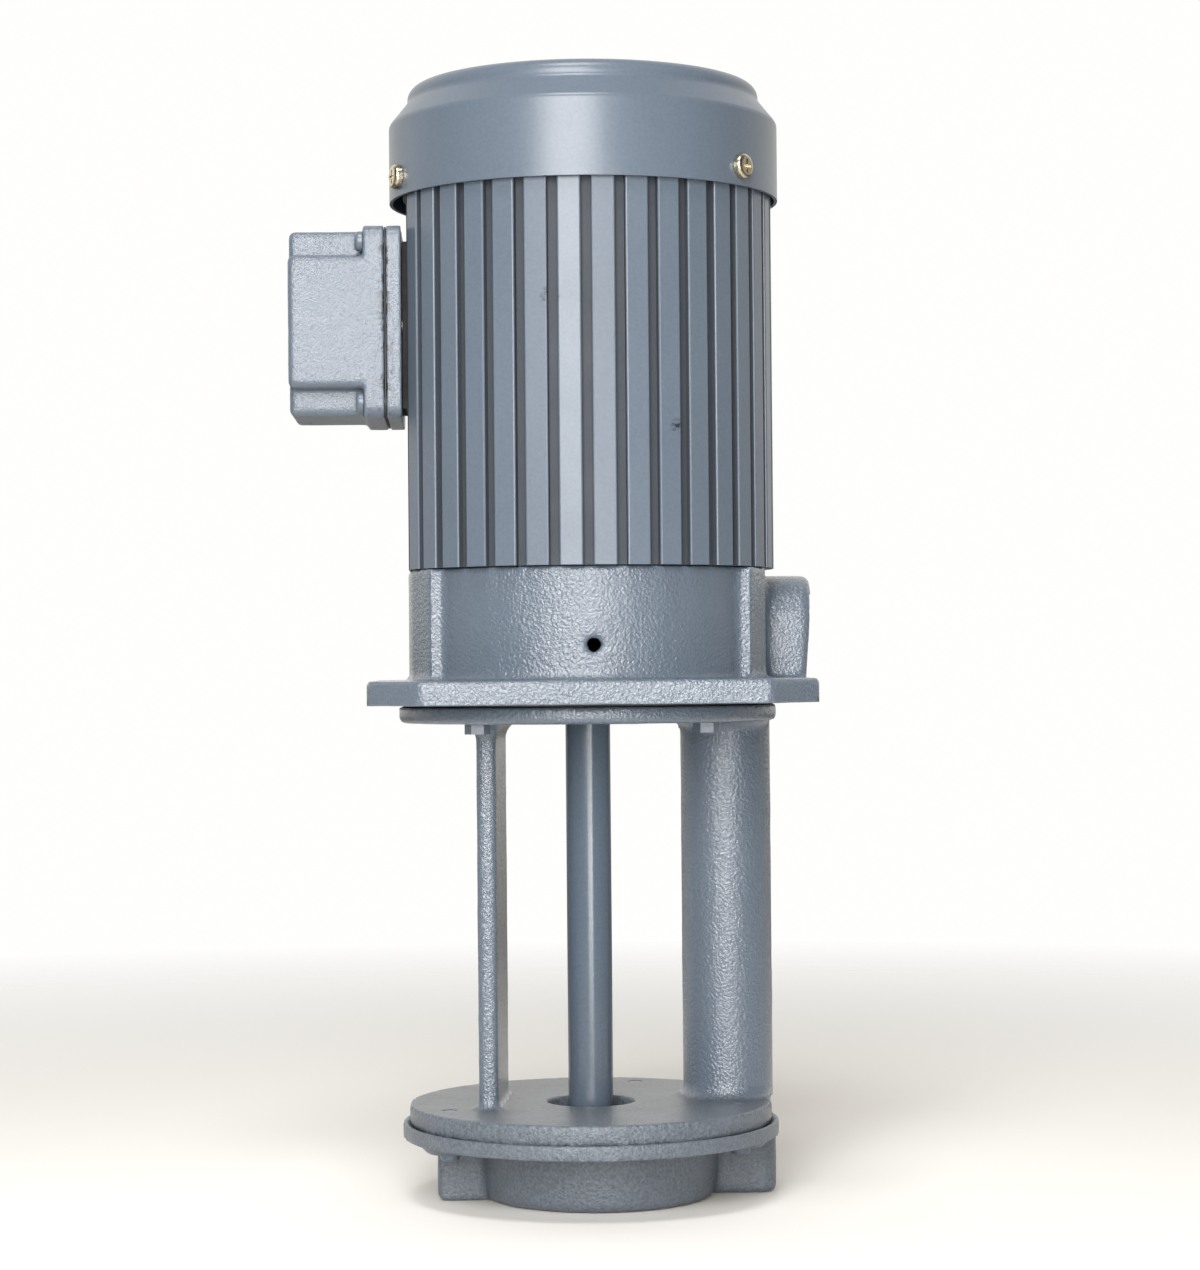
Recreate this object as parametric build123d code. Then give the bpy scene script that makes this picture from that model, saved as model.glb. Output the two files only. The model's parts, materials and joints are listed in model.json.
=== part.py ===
from build123d import *
import os
from math import atan2, cos, degrees, hypot, pi, radians, sin, sqrt, tan

# A vertical immersion pump with a flange motor, in millimetres.
# Origin: centre of the mounting flange's underside. +Z runs up the shaft, -Y is the front,
# the terminal box is on -X and the discharge boss on +X.

# How far a cut runs past its face, and a joined body into its neighbour
over = 1.0
edge_tol = 0.01

# Clearances
seat_gap = 0.03
thread_gap = 0.05
running_gap = 0.05
free_gap = 0.3
screw_tip_gap = 1.0

# Mounting flange
flange_side = 160.0
flange_cut = 18.5
flange_t = 9.0
flange_corner_r = 2.0
flange_edge_r = 1.0
mount_edge = 18.0
mount_hole_r = 4.5

# Motor bracket above the flange
bracket_h = 40.2
bracket_inset = 3.3
bracket_wall = 6.0
bracket_hole_r = 30.0
bracket_web_t = 6.0
bracket_web_drop = 5.2
tie_bolt_angle = 38.0
rib_inner_angle = 37.1
rib_corner_angle = 34.7
rib_corner_proud = 4.1
rib_side_angle = 21.1
rib_side_proud = 3.2
rib_back_angle = 18.0
air_hole_r = 2.5
air_hole_h = 12.1
spigot_h = 3.0
spigot_wall = 4.5
hub_wall = 7.0

# Discharge elbow in the bracket
port_h = 19.2
port_r = 12.1
port_depth = 16.0
port_proud = 3.0
port_face_draft = 4.2
port_spot_r = 15.5
port_spot_depth = 1.6
boss_wall = 6.9
boss_edge_r = 3.0
boss_foot_h = 2.0
bulge_wall = 7.3
bulge_h = 8.0

# Column under the flange
column_l = 147.3
head_r = 70.0
head_t = 7.0
head_edge_r = 2.0
head_gasket_t = 0.5
gasket_inset = 0.5
shaft_hole_gap = 2.2
pipe_x = 52.1
pipe_y = 13.5
pipe_r = 17.0
pipe_bore_r = 11.5
pipe_fillet = 4.0
strut_x = -35.9
strut_y = -1.0
strut_t = 7.6
strut_w = 44.0
strut_turn = -6.0
strut_edge_r = 2.5
strut_foot_r = 3.0
strut_top_r = 6.0
plate_r = 67.2
plate_t = 7.7
suction_r = 16.0
column_bolt_edge = 12.0
column_bolt_angle = 45.0

# Pump casing under the column
casing_h = 27.0
casing_lip_w = 2.5
lip_edge_r = 1.0
casing_body_inset = 0.4
lip_h = 1.8
casing_flange_t = 4.2
casing_gasket_t = 0.5
casing_floor_t = 4.2
volute_x = 2.7
volute_r = 45.0
volute_draft = 5.0
volute_edge_r = 4.0
volute_wall = 6.0
chamber_x = 1.2
outlet_w = 18.0
outlet_side = 34.0
outlet_corner_r = 6.0
left_lug_x = -57.0
left_lug_w = 24.0
left_lug_y = 2.0
lug_edge_r = 3.0
casing_screw_edge = 10.9
casing_screw_angles = (202.2, 344.1, 70.1)
casing_boss_r = 8.0
casing_boss_drop = 3.5
screw_end_gap = 0.4

# Motor frame
frame_l = 137.8
frame_r = 69.5
frame_wall = 8.0
groove_count = 36
groove_w = 3.7
groove_depth = 2.7
groove_phase = -91.4
frame_flat_depth = 4.0
tie_bolt_wall = 1.5
tie_head_gap = 0.3
tie_notch_gap = 1.0

# Upper end shield and fan cover
cover_proud = 2.5
cover_t = 1.2
cover_overlap = 1.7
cover_skirt_h = 28.2
cover_shoulder_w = 6.9
cover_fit = 0.1
cover_shoulder_h = 8.5
cover_dome_h = 6.0
cover_bend_r = 3.0
cover_top_r = 4.5
vent_w = 4.5
vent_inner_from = 14.0
vent_inner_to = 30.0
vent_inner_count = 12
vent_outer_from = 36.0
vent_outer_to = 54.0
vent_outer_count = 24
shield_rim_h = 12.0
shield_rim_wall = 6.0
shield_rim_inset = 2.5
shield_pad_w = 14.0
shield_web_t = 5.0
shield_hub_wall = 6.0
shield_cap_t = 2.3
cover_screw_h = 5.0
cover_screw_angles = (-40.5, -160.5, 79.5)

# Stator, rotor and fan
stack_h = 31.0
stack_top_space = 36.8
stator_bore_r = 31.0
slot_count = 24
slot_w = 5.0
yoke_w = 14.5
slot_mouth = 2.4
slot_lip = 1.5
winding_gap = 0.2
end_turn_l = 16.0
end_turn_inset = 11.5
end_turn_edge_r = 3.0
air_gap = 0.4
bar_count = 20
bar_r = 1.8
bar_depth = 3.1
end_ring_l = 8.0
end_ring_w = 8.1
end_ring_gap = 0.5
fan_gap = 7.1
fan_hub_r = 13.0
fan_hub_l = 12.0
fan_plate_t = 1.6
fan_blade_t = 2.0
fan_blade_h = 14.0
fan_blade_count = 8
fan_lift = 1.5

# Shaft
column_shaft_r = 8.3
lower_seat_r = 8.5
core_seat_r = 10.0
upper_seat_r = 7.5
fan_seat_r = 6.0
fan_tail_l = 3.0
impeller_seat_r = 6.0
thread_r = 4.0
clip_t = 1.0
clip_w = 2.8
clip_groove = 0.6
clip_gap = 0.02
clip_mouth = 4.0

# Bearings, seal and slinger
lower_bearing_r = 20.0
lower_bearing_w = 12.0
lower_ball_r = 3.375
upper_bearing_r = 17.5
upper_bearing_w = 11.0
upper_ball_r = 3.0
ball_count = 8
ball_gap = 0.04
land_share = 0.6
cage_t = 1.4
cage_margin = 0.6
wave_t = 1.2
wave_w = 3.5
seal_r = 15.0
seal_w = 7.0
seal_wall = 1.6
seal_lip_rise = 1.0
seal_lip_l = 2.0
seal_lip_slope = 0.6
seal_shoulder_t = 2.0
seal_shoulder_r = 12.0
bearing_cap_t = 2.5
cap_gap = 0.7
slinger_r = 15.0
slinger_t = 1.7
slinger_h = 3.0
slinger_drop = 1.0
slinger_hub_w = 3.0
slinger_hub_h = 5.0

# Impeller
impeller_side_gap = 5.0
impeller_gap = 0.5
vane_h = 12.0
vane_t = 3.0
vane_count = 6
vane_inner_r = 14.0
vane_sweep = 50.0
vane_mid_share = 0.35
impeller_plate_t = 3.0
impeller_hub_r = 11.0
washer_t = 1.2
washer_r = 8.0
key_w = 4.0
key_l = 9.0
key_sink = 2.5
key_top_gap = 1.0
thread_tail = 0.5

# Fasteners: hex and pan heads
m5_r = 2.5
m5_af = 8.0
m5_head_h = 3.5
m5_pan_r = 4.5
m5_pan_h = 2.8
m4_r = 2.0
m4_pan_r = 3.6
m4_pan_h = 2.7
nut_af = 13.0
nut_h = 4.4
column_bolt_l = 14.0
tie_bolt_engage = 9.0
cover_screw_l = 8.0
cap_screw_l = 7.0
recess_w = 1.0
recess_depth = 1.5
recess_share = 1.1
pan_edge_r = 1.5

# Terminal box
box_drop = 48.1
box_half_y = 32.0
box_half_z = 35.2
box_corner_r = 5.0
box_seat_t = 1.7
box_base_t = 5.7
box_floor_t = 2.5
box_gasket_t = 0.5
box_rim_t = 7.9
box_body_l = 27.1
box_notch_z = 11.0
box_notch_y = 8.5
box_gasket_inset = 0.6
box_end_inset = 1.4
box_wall = 3.0
box_pocket_edge_y = 7.5
box_pocket_edge_z = 4.6
box_pocket_r = 2.0
box_edge_r = 2.5
box_body_corner_r = 3.0
box_wall_corner_r = 0.5
box_rim_edge_r = 1.2
box_screw_edge_y = 4.0
box_screw_edge_z = 6.0
box_screw_bite = 2.5
screw_bottom_gap = 0.5
wire_hole_r = 9.0
wire_hole_drop = 15.0
fixing_screw_y = 13.0
fixing_pad_margin = 4.0
block_half_y = 19.5
block_half_z = 7.0
block_t = 9.0
block_rise = 13.0
block_wall_t = 1.6
block_wall_h = 4.0
stud_count = 3
stud_pitch = 12.5
stud_r = 2.0
stud_l = 9.0
stud_depth = 6.0
stud_nut_af = 7.0
stud_nut_h = 3.0
earth_y = 17.0
earth_drop = 17.0
bush_r = 9.0
bush_flange = 3.0
bush_flange_t = 2.0
bush_lip = 1.0
bush_bore_r = 5.0

# Radii, heights and places worked out from the sizes above
mount_spacing = flange_side - 2 * mount_edge
port_face_x = flange_side / 2 + port_proud
bracket_r = frame_r - bracket_inset
frame_bore_r = frame_r - frame_wall
frame_flat_x = frame_r - frame_flat_depth
cover_r = frame_r + cover_proud
cover_dome_r = cover_r - cover_shoulder_w
fan_r = cover_dome_r - fan_gap
slot_r = frame_bore_r - yoke_w
end_turn_r = frame_bore_r - end_turn_inset
rotor_r = stator_bore_r - air_gap
bar_pcr = rotor_r - bar_depth
lower_ball_pcr = (lower_seat_r + lower_bearing_r) / 2
upper_ball_pcr = (upper_seat_r + upper_bearing_r) / 2
column_bolt_pcr = head_r - column_bolt_edge
casing_r = plate_r + casing_lip_w
casing_screw_pcr = plate_r - casing_screw_edge
chamber_r = volute_r - volute_wall
impeller_r = chamber_r - impeller_side_gap
bracket_top = flange_t + bracket_h
port_z = flange_t + port_h
port_boss_r = port_r + boss_wall
air_hole_z = flange_t + air_hole_h
bearing_seat_top = bracket_top - bearing_cap_t - cap_gap
bearing_seat_z = bearing_seat_top - lower_bearing_w
seal_top = bearing_seat_z - seal_shoulder_t
seal_bottom = seal_top - seal_w
hub_r = lower_bearing_r + hub_wall
web_top = bracket_top - bracket_web_drop
frame_top = bracket_top + frame_l
tie_bolt_pcr = frame_bore_r - m5_r - tie_bolt_wall
tie_bolt_angles = (tie_bolt_angle, 180 - tie_bolt_angle, 180 + tie_bolt_angle, -tie_bolt_angle)
shield_pad_r = cover_r - cover_t - cover_fit
shield_rim_r = frame_r - shield_rim_inset
shield_hub_r = upper_bearing_r + shield_hub_wall
upper_bearing_top = frame_top + upper_bearing_w
shield_hub_top = upper_bearing_top + wave_t + shield_cap_t
cover_bottom = frame_top - cover_overlap
cover_top = cover_bottom + cover_skirt_h + cover_shoulder_h + cover_dome_h
fan_z = shield_hub_top + fan_lift
fan_hub_top = fan_z + fan_hub_l
stack_z = bracket_top + stack_h
stack_l = frame_l - stack_h - stack_top_space
stack_top = stack_z + stack_l
head_bottom = -head_t
plate_top = -column_l
plate_bottom = plate_top - plate_t
casing_seat_z = plate_bottom - casing_gasket_t
casing_bottom = casing_h - casing_seat_z
lip_top = casing_seat_z + lip_h
casing_flange_z = casing_seat_z - casing_flange_t
casing_floor_z = casing_floor_t - casing_bottom
casing_boss_z = casing_flange_z - casing_boss_drop
impeller_top = casing_seat_z - impeller_gap
impeller_plate_top = impeller_top - vane_h
impeller_bottom = impeller_plate_top - impeller_plate_t
washer_bottom = impeller_bottom - washer_t
nut_bottom = washer_bottom - nut_h
shaft_bottom = nut_bottom - thread_tail
box_z = frame_top - box_drop
box_band_half_z = box_half_z - box_notch_z
box_end_half_y = box_half_y - box_notch_y
box_end_half_z = box_half_z - box_end_inset
box_pocket_half_y = box_half_y - box_pocket_edge_y
box_pocket_half_z = box_half_z - box_pocket_edge_z
box_screw_y = box_half_y - box_screw_edge_y
box_screw_z = box_half_z - box_screw_edge_z
box_gasket_x = -frame_flat_x - box_seat_t
box_base_x = box_gasket_x - box_base_t
box_floor_x = box_gasket_x - box_floor_t
box_rim_x = box_base_x - box_gasket_t - box_rim_t
box_face_x = box_rim_x - box_body_l
wire_hole_z = box_z - wire_hole_drop

BASE = (Align.CENTER, Align.CENTER, Align.MIN)


# Helpers

def polar(r, angle):
    return r * cos(radians(angle)), r * sin(radians(angle))


def rod(r, z0, z1, x=0.0, y=0.0):
    return Pos(x, y, z0) * Cylinder(r, z1 - z0, align=BASE)


def rod_x(r, x0, x1, y, z):
    return Pos(x0, y, z) * Rot(0, 90, 0) * Cylinder(r, x1 - x0, align=BASE)


def rod_y(r, y0, y1, x, z):
    return Pos(x, y0, z) * Rot(-90, 0, 0) * Cylinder(r, y1 - y0, align=BASE)


def tube(r_out, r_in, z0, z1, x=0.0, y=0.0):
    return rod(r_out, z0, z1, x, y) - rod(r_in, z0, z1, x, y)


def block(x0, x1, y0, y1, z0, z1):
    centre = Pos((x0 + x1) / 2, (y0 + y1) / 2, (z0 + z1) / 2)
    return centre * Box(abs(x1 - x0), abs(y1 - y0), abs(z1 - z0))


def spun(points):
    profile = make_face(Polyline(*points, close=True))
    return revolve(Plane.XZ * profile, Axis.Z)


def along(x, y, z, direction):
    """The place of a thing whose own +Z points in the given direction."""
    return Plane(origin=(x, y, z), z_dir=direction).location


def radial(r, angle, z):
    """The place of a thing on a cylinder, its own +Z pointing out."""
    x, y = polar(r, angle)
    return along(x, y, z, (*polar(1, angle), 0))


def group(shapes):
    return Compound([solid for shape in shapes for solid in shape.solids()])


def save(name, shape):
    export_step(shape, f"parts/{name}.step")


def hex_prism(af, z0, z1):
    outline = RegularPolygon(radius=af / 2, side_count=6, major_radius=False)
    return Pos(0, 0, z0) * extrude(outline, z1 - z0)


def hex_bolt(af, head_h, r, length):
    """Its head stands on z = 0 and its shank points down."""
    return hex_prism(af, 0, head_h) + rod(r, -length, 0)


def pan_screw(head_r, head_h, r, length):
    """A cross-recess pan screw: head on z = 0, shank pointing down."""
    head = rod(head_r, 0, head_h)
    head = fillet(head.edges().sort_by(Axis.Z)[-1], pan_edge_r)
    slot_l = recess_share * head_r
    for turn in (0, 90):
        bottom = head_h - recess_depth
        slot = block(-slot_l / 2, slot_l / 2, -recess_w / 2, recess_w / 2, bottom, head_h + over)
        head -= Rot(0, 0, turn) * slot
    return head + rod(r, -length, 0)


# Motor bracket with the mounting flange

def flange_plate():
    outline = Rectangle(flange_side, flange_side)
    outline = chamfer(outline.vertices(), flange_cut)
    plate = extrude(outline, flange_t)
    plate = fillet(plate.edges().filter_by(Axis.Z), flange_corner_r)
    plate = fillet(plate.faces().sort_by(Axis.Z)[-1].edges(), flange_edge_r)
    half = mount_spacing / 2
    for x in (-half, half):
        for y in (-half, half):
            plate -= rod(mount_hole_r, -over, flange_t + over, x, y)
    return plate


def elbow_outside():
    reach = 2 * port_boss_r
    end_x = port_face_x + port_z * tan(radians(port_face_draft)) + over
    boss = rod_x(port_boss_r, pipe_x, end_x, pipe_y, port_z)
    side_y = (pipe_y - port_boss_r, pipe_y + port_boss_r)
    boss += block(pipe_x, end_x, *side_y, boss_foot_h, port_z)
    face = block(0, reach, -reach, reach, -reach, reach)
    boss -= Pos(port_face_x, pipe_y, port_z) * Rot(0, port_face_draft, 0) * face
    face_edges = boss.faces().sort_by(Axis.X)[-1].edges()
    boss = fillet([e for e in face_edges if e.center().Z > boss_foot_h + edge_tol], boss_edge_r)
    boss += Pos(pipe_x, pipe_y, port_z) * Sphere(port_boss_r)
    stub = rod(port_boss_r, 0, port_z, pipe_x, pipe_y)
    bulge_r = pipe_bore_r + bulge_wall
    bulge_z = flange_t + bulge_h
    bulge = rod(bulge_r, 0, bulge_z, pipe_x, pipe_y)
    bulge += Pos(pipe_x, pipe_y, bulge_z) * Sphere(bulge_r)
    bulge -= Pos(pipe_x, pipe_y) * block(-reach, reach, -reach, reach, -reach, 0)
    return boss + stub + bulge


def elbow_inside():
    spot_x = port_face_x - port_spot_depth
    past = port_face_x + port_spot_depth + over
    bore = rod_x(port_r, spot_x - port_depth, past, pipe_y, port_z)
    bore += rod_x(port_spot_r, spot_x, past, pipe_y, port_z)
    bore += rod_x(pipe_bore_r, pipe_x, port_face_x, pipe_y, port_z)
    bore += rod(pipe_bore_r, -over, port_z, pipe_x, pipe_y)
    return bore + Pos(pipe_x, pipe_y, port_z) * Sphere(pipe_bore_r)


def bracket_rib():
    """The section of one outside rib, with its flat front towards +Y."""
    inner = bracket_r - over
    corner = polar(bracket_r + rib_corner_proud, rib_corner_angle)
    side = polar(bracket_r + rib_side_proud, rib_side_angle)
    outline = Polyline(polar(inner, rib_inner_angle), polar(bracket_r, rib_inner_angle), corner, side,
                       polar(bracket_r, rib_back_angle), polar(inner, rib_back_angle), close=True)
    return make_face(outline)


def motor_bracket():
    wall_in = bracket_r - bracket_wall
    spigot_r = frame_bore_r - seat_gap
    body = flange_plate()
    body += rod(bracket_r, 0, bracket_top)
    body -= rod(wall_in, flange_t, bracket_top + over)
    rib = Pos(0, 0, flange_t - over) * extrude(bracket_rib(), bracket_h + over)
    for right_rib in (rib, mirror(rib, Plane.XZ)):
        body += [right_rib, mirror(right_rib, Plane.YZ)]
    body += tube(spigot_r, spigot_r - spigot_wall, web_top - bracket_web_t, bracket_top + spigot_h)
    body += tube(wall_in + over, hub_r - over, web_top - bracket_web_t, web_top)
    body += rod(hub_r, seal_bottom, bearing_seat_top)
    for angle in tie_bolt_angles:
        body += rod(2 * m5_r, web_top - bracket_web_t, bracket_top, *polar(tie_bolt_pcr, angle))
    body += elbow_outside()
    body -= elbow_inside()
    body -= rod(lower_bearing_r + seat_gap, bearing_seat_z, bracket_top + spigot_h)
    body -= rod(seal_shoulder_r, seal_bottom - over, bearing_seat_z + over)
    body -= rod(seal_r + seat_gap, seal_bottom - over, seal_top)
    body -= rod(bracket_hole_r, -over, flange_t + over)
    body -= rod_y(air_hole_r, -bracket_r - over, -wall_in + over, 0, air_hole_z)
    for angle in tie_bolt_angles:
        x, y = polar(tie_bolt_pcr, angle)
        hole_z = bracket_top - tie_bolt_engage - screw_tip_gap
        body -= rod(m5_r + thread_gap, hole_z, bracket_top + spigot_h + over, x, y)
    for angle in column_bolt_places():
        body -= rod(m5_r + thread_gap, -over, flange_t + over, *polar(column_bolt_pcr, angle))
    for angle in cap_screw_places():
        body -= rod(m4_r + thread_gap, bearing_seat_top - cap_screw_l, bearing_seat_top + over,
                    *polar(lower_bearing_r + hub_wall / 2, angle))
    return body


def column_bolt_places():
    return [column_bolt_angle + 90 * k for k in range(4)]


def cap_screw_places():
    return [30 + 120 * k for k in range(3)]


# Column: head disc, delivery pipe, strut and lower plate, one casting

def rim_fillet(r, z, up):
    """The concave fillet where a round pipe meets a flat face."""
    s = 1 if up else -1
    f = pipe_fillet
    sag = f * (1 - sqrt(0.5))
    arc = ThreePointArc((r + f, z), (r + sag, z + s * sag), (r, z + s * f))
    inner = r - over
    side = Polyline((r, z + s * f), (inner, z + s * f), (inner, z), (r + f, z))
    return revolve(Plane.XZ * make_face([arc, *side.edges()]), Axis.Z)


def strut():
    outline = Rectangle(strut_t, strut_w)
    outline = fillet(outline.vertices(), strut_edge_r)
    bar = extrude(outline, column_l - head_t)
    return Pos(strut_x, strut_y, plate_top) * Rot(0, 0, strut_turn) * bar


def strut_edges(body, z):
    near = body.edges().filter_by_position(Axis.Z, z - edge_tol, z + edge_tol)
    near = near.filter_by_position(Axis.X, strut_x - 1.5 * strut_t, strut_x + 1.5 * strut_t)
    return near.filter_by_position(Axis.Y, strut_y - strut_w / 2 - over, strut_y + strut_w / 2 + over)


def pump_column():
    head = rod(head_r, head_bottom, -head_gasket_t)
    head = fillet(head.edges().sort_by(Axis.Z)[0], head_edge_r)
    plate = rod(plate_r, plate_bottom, plate_top)
    body = head + plate + strut()
    body = fillet(strut_edges(body, plate_top), strut_foot_r)
    body = fillet(strut_edges(body, head_bottom), strut_top_r)
    body += rod(pipe_r, plate_top - over, head_bottom + over, pipe_x, pipe_y)
    foot = Pos(pipe_x, pipe_y) * rim_fillet(pipe_r, plate_top, True)
    neck = Pos(pipe_x, pipe_y) * rim_fillet(pipe_r, head_bottom, False)
    body += foot & rod(plate_r, plate_top, plate_top + pipe_fillet)
    body += neck & rod(head_r - head_edge_r, head_bottom - pipe_fillet, head_bottom)
    body -= rod(pipe_bore_r, plate_bottom - over, over, pipe_x, pipe_y)
    body -= rod(column_shaft_r + shaft_hole_gap, head_bottom - over, over)
    body -= rod(suction_r, plate_bottom - over, plate_top + over)
    for angle in column_bolt_places():
        body -= rod(m5_r + free_gap, head_bottom - over, over, *polar(column_bolt_pcr, angle))
    for angle in casing_screw_angles:
        x, y = polar(casing_screw_pcr, angle)
        body -= rod(m4_r + thread_gap, plate_bottom - over, plate_top + over, x, y)
    return body


def column_gasket():
    body = tube(head_r - gasket_inset, bracket_hole_r, -head_gasket_t, 0)
    body -= rod(pipe_bore_r + gasket_inset, -over, over, pipe_x, pipe_y)
    for angle in column_bolt_places():
        body -= rod(m5_r + free_gap, -over, over, *polar(column_bolt_pcr, angle))
    return body


def column_bolts():
    bolt = Rot(180, 0, 0) * hex_bolt(m5_af, m5_head_h, m5_r, column_bolt_l)
    places = [polar(column_bolt_pcr, angle) for angle in column_bolt_places()]
    return group([Pos(*place, head_bottom) * bolt for place in places])


# Pump casing

def left_lug():
    back = left_lug_y + left_lug_w / 2
    front = left_lug_y - left_lug_w / 2
    lug = block(left_lug_x, 0, front, back, -casing_bottom, casing_flange_z)
    end_edges = lug.edges().filter_by_position(Axis.X, left_lug_x - over, left_lug_x + over)
    return fillet(end_edges, lug_edge_r)


def right_lug():
    outline = Rectangle(outlet_side, outlet_side)
    outline = fillet(outline.vertices(), outlet_corner_r)
    lug = Pos(pipe_x, pipe_y, -casing_bottom) * extrude(outline, casing_flange_z + casing_bottom)
    return fillet(lug.faces().sort_by(Axis.Z)[0].edges(), lug_edge_r)


def casing_boss(angle):
    """The tapered boss under the ring that a casing screw's head bears on."""
    h = casing_flange_z - casing_boss_z + casing_flange_t / 2
    cone = Cone(casing_boss_r, casing_boss_r + h, h, align=BASE)
    return Pos(*polar(casing_screw_pcr, angle), casing_boss_z) * cone


def pump_casing():
    body_h = casing_flange_z + casing_bottom
    bowl = extrude(Circle(volute_r), -body_h, taper=volute_draft)
    bowl = fillet(bowl.edges().sort_by(Axis.Z)[0], volute_edge_r)
    body = Pos(volute_x, 0, casing_flange_z) * bowl
    body += left_lug() + right_lug()
    for angle in casing_screw_angles:
        body += casing_boss(angle)
    body &= rod(casing_r - casing_body_inset, -casing_bottom - over, 0)
    ring = rod(casing_r, casing_flange_z, lip_top)
    ring = fillet(ring.edges().sort_by(Axis.Z)[-1], lip_edge_r)
    body += ring
    body -= rod(plate_r + free_gap, casing_seat_z, lip_top + over)
    body -= rod(chamber_r, casing_floor_z, lip_top, chamber_x, 0)
    body -= rod(pipe_bore_r, casing_floor_z, lip_top, pipe_x, pipe_y)
    reach = hypot(pipe_x, pipe_y)
    channel = block(chamber_r / 2, reach, -outlet_w / 2, outlet_w / 2, casing_floor_z, casing_seat_z)
    body -= Rot(0, 0, degrees(atan2(pipe_y, pipe_x))) * channel
    for angle in casing_screw_angles:
        body -= rod(m4_r + free_gap, casing_boss_z - over, lip_top, *polar(casing_screw_pcr, angle))
    return body


def casing_gasket():
    body = tube(plate_r, chamber_r + chamber_x, casing_seat_z, plate_bottom)
    body -= rod(pipe_bore_r + gasket_inset, casing_seat_z - over, plate_bottom + over, pipe_x, pipe_y)
    for angle in casing_screw_angles:
        x, y = polar(casing_screw_pcr, angle)
        body -= rod(m4_r + free_gap, casing_seat_z - over, plate_bottom + over, x, y)
    return body


def casing_screws():
    length = plate_top - casing_boss_z - screw_end_gap
    screw = Rot(180, 0, 0) * pan_screw(m4_pan_r, m4_pan_h, m4_r, length)
    places = [polar(casing_screw_pcr, angle) for angle in casing_screw_angles]
    return group([Pos(*place, casing_boss_z) * screw for place in places])


# Motor frame and end shield

def motor_frame():
    outline = Circle(frame_r) - Circle(frame_bore_r)
    groove = Pos(frame_r, 0) * Rectangle(2 * groove_depth, groove_w)
    for k in range(groove_count):
        outline -= Rot(0, 0, groove_phase + 360 / groove_count * k) * groove
    outline -= Pos(-frame_flat_x - frame_r, 0) * Rectangle(2 * frame_r, 2 * frame_r)
    body = Pos(0, 0, bracket_top) * extrude(outline, frame_l)
    body -= rod_x(wire_hole_r, -frame_r, -frame_bore_r + over, 0, wire_hole_z)
    for y in (-fixing_screw_y, fixing_screw_y):
        body -= rod_x(m4_r + thread_gap, -frame_r, -frame_bore_r + over, y, box_z)
    return body


def upper_end_shield():
    spigot_r = frame_bore_r - seat_gap
    rim_in = shield_rim_r - shield_rim_wall
    web_top_z = frame_top + shield_web_t
    rim_top_z = frame_top + shield_rim_h
    body = tube(shield_rim_r, rim_in, frame_top, rim_top_z)
    half_pad = shield_pad_w / 2
    pad = block(rim_in + over, cover_r, -half_pad, half_pad, frame_top, rim_top_z)
    pad &= rod(shield_pad_r, frame_top, rim_top_z)
    body += [Rot(0, 0, angle) * pad for angle in cover_screw_angles]
    body += rod(rim_in + over, frame_top, web_top_z)
    body += tube(spigot_r, spigot_r - spigot_wall, frame_top - spigot_h, frame_top + over)
    body += rod(shield_hub_r, frame_top - over, shield_hub_top)
    body -= rod(upper_bearing_r + seat_gap, frame_top - over, upper_bearing_top + wave_t)
    body -= rod(upper_seat_r + over, frame_top - over, shield_hub_top + over)
    for angle in tie_bolt_angles:
        x, y = polar(tie_bolt_pcr, angle)
        body -= rod(m5_r + free_gap, frame_top - spigot_h - over, web_top_z + over, x, y)
        body -= rod(m5_af / sqrt(3) + tie_head_gap, web_top_z, rim_top_z + over, x, y)
    for angle in cover_screw_angles:
        hole = rod(m5_r + thread_gap, -cover_screw_l, over)
        body -= radial(cover_r, angle, frame_top + cover_screw_h) * hole
    return body


def tie_bolts():
    top = frame_top + shield_web_t
    length = top - bracket_top + tie_bolt_engage
    bolt = hex_bolt(m5_af, m5_head_h, m5_r, length)
    return group([Pos(*polar(tie_bolt_pcr, angle), top) * bolt for angle in tie_bolt_angles])


# Fan cover

def cover_solid(inset):
    z0 = cover_bottom if inset == 0 else cover_bottom - over
    slope = atan2(cover_r - cover_dome_r, cover_shoulder_h)
    drop = inset * tan(slope / 2)
    r1 = cover_r - inset
    r2 = cover_dome_r - inset
    z1 = cover_bottom + cover_skirt_h - drop
    z2 = z1 + cover_shoulder_h
    top = cover_top - inset
    bends = [cover_bend_r - inset, cover_bend_r - inset, cover_top_r - inset]
    line = FilletPolyline((r1, z0), (r1, z1), (r2, z2), (r2, top), (0, top), radius=bends)
    rest = Polyline((0, top), (0, z0), (r1, z0))
    return revolve(Plane.XZ * make_face([*line.edges(), *rest.edges()]), Axis.Z)


def vent_ring(inner, outer, count):
    slot = Pos((inner + outer) / 2, 0) * SlotOverall(outer - inner, vent_w)
    return [Rot(0, 0, 360 / count * k) * slot for k in range(count)]


def fan_cover():
    body = cover_solid(0) - cover_solid(cover_t)
    vents = Sketch()
    vents += vent_ring(vent_inner_from, vent_inner_to, vent_inner_count)
    vents += vent_ring(vent_outer_from, vent_outer_to, vent_outer_count)
    body -= Pos(0, 0, cover_top - 2 * cover_t) * extrude(vents, 4 * cover_t)
    for angle in cover_screw_angles:
        hole = rod(m5_r + free_gap, -cover_t - over, over)
        body -= radial(cover_r, angle, frame_top + cover_screw_h) * hole
    return body


def fan_cover_screws():
    screw = pan_screw(m5_pan_r, m5_pan_h, m5_r, cover_screw_l - screw_tip_gap)
    place_z = frame_top + cover_screw_h
    return group([radial(cover_r + cover_fit, angle, place_z) * screw for angle in cover_screw_angles])


# Stator and rotor

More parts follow.
